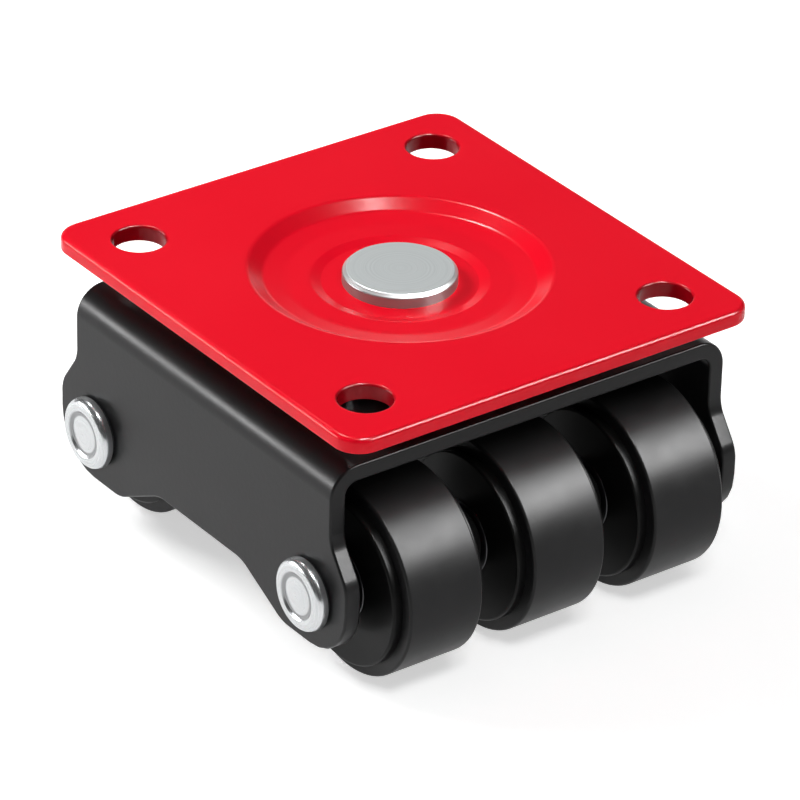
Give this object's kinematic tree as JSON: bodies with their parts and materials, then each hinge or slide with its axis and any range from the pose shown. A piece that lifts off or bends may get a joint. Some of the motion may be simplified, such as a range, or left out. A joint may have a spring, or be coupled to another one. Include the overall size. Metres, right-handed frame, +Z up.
{
  "type": "furniture caster",
  "caption": "Low-profile swivel plate caster: stamped bolt-on top plate, double ball race, bent sheet frame and wheels side by side on two riveted axles.",
  "frame": {"origin": "centre of the plate's flat top face, on the swivel axis", "axes": "+Z up through the top plate, X along the axles, Y along the rolling direction"},
  "size_m": [0.0988, 0.1112, 0.0583],
  "materials": {
    "red_powder_coat": "glossy powder coat",
    "turned_steel": "fine turned face",
    "zinc_steel": "bright zinc plate",
    "ball_steel": "polished bearing balls",
    "black_coat": "satin black coat",
    "tread_black": "satin black moulded tread",
    "core_black": "semi-gloss black moulding",
    "spacer_black": "plain black nylon",
    "bush_steel": "sintered steel"
  },
  "bodies": {
    "plate": {"top_plate": "red_powder_coat", "kingpin": "turned_steel", "pivot_sleeve": "turned_steel", "lower_race_cup": "zinc_steel"},
    "upper_ball_ring": {"upper_balls": "ball_steel"},
    "lower_ball_ring": {"lower_balls": "ball_steel"},
    "fork": {"frame": "black_coat", "front_axle": "zinc_steel", "front_wheel_spacers": "spacer_black", "front_end_washers": "spacer_black", "rear_axle": "zinc_steel", "rear_wheel_spacers": "spacer_black", "rear_end_washers": "spacer_black"},
    "front_left_wheel": {"front_left_tyre": "tread_black", "front_left_core": "core_black", "front_left_bush": "bush_steel"},
    "front_middle_wheel": {"front_middle_tyre": "tread_black", "front_middle_core": "core_black", "front_middle_bush": "bush_steel"},
    "front_right_wheel": {"front_right_tyre": "tread_black", "front_right_core": "core_black", "front_right_bush": "bush_steel"},
    "rear_left_wheel": {"rear_left_tyre": "tread_black", "rear_left_core": "core_black", "rear_left_bush": "bush_steel"},
    "rear_middle_wheel": {"rear_middle_tyre": "tread_black", "rear_middle_core": "core_black", "rear_middle_bush": "bush_steel"},
    "rear_right_wheel": {"rear_right_tyre": "tread_black", "rear_right_core": "core_black", "rear_right_bush": "bush_steel"}
  },
  "joints": [
    {"name": "swivel", "type": "hinge", "parent": "plate", "child": "fork", "pos_m": [0, 0, 0], "axis": [0, 0, 1], "continuous": true},
    {"name": "upper_ball_roll", "type": "hinge", "parent": "plate", "child": "upper_ball_ring", "pos_m": [0, 0, 0], "axis": [0, 0, 1], "continuous": true},
    {"name": "lower_ball_roll", "type": "hinge", "parent": "plate", "child": "lower_ball_ring", "pos_m": [0, 0, 0], "axis": [0, 0, 1], "continuous": true},
    {"name": "front_left_spin", "type": "hinge", "parent": "fork", "child": "front_left_wheel", "pos_m": [-0.0288, -0.036, -0.0387], "axis": [1, 0, 0], "continuous": true},
    {"name": "front_middle_spin", "type": "hinge", "parent": "fork", "child": "front_middle_wheel", "pos_m": [0, -0.036, -0.0387], "axis": [1, 0, 0], "continuous": true},
    {"name": "front_right_spin", "type": "hinge", "parent": "fork", "child": "front_right_wheel", "pos_m": [0.0288, -0.036, -0.0387], "axis": [1, 0, 0], "continuous": true},
    {"name": "rear_left_spin", "type": "hinge", "parent": "fork", "child": "rear_left_wheel", "pos_m": [-0.0288, 0.036, -0.0387], "axis": [1, 0, 0], "continuous": true},
    {"name": "rear_middle_spin", "type": "hinge", "parent": "fork", "child": "rear_middle_wheel", "pos_m": [0, 0.036, -0.0387], "axis": [1, 0, 0], "continuous": true},
    {"name": "rear_right_spin", "type": "hinge", "parent": "fork", "child": "rear_right_wheel", "pos_m": [0.0288, 0.036, -0.0387], "axis": [1, 0, 0], "continuous": true}
  ],
  "couplings": [
    {"joint": "upper_ball_roll", "follows": "swivel", "ratio": 0.5},
    {"joint": "lower_ball_roll", "follows": "swivel", "ratio": 0.5}
  ]
}
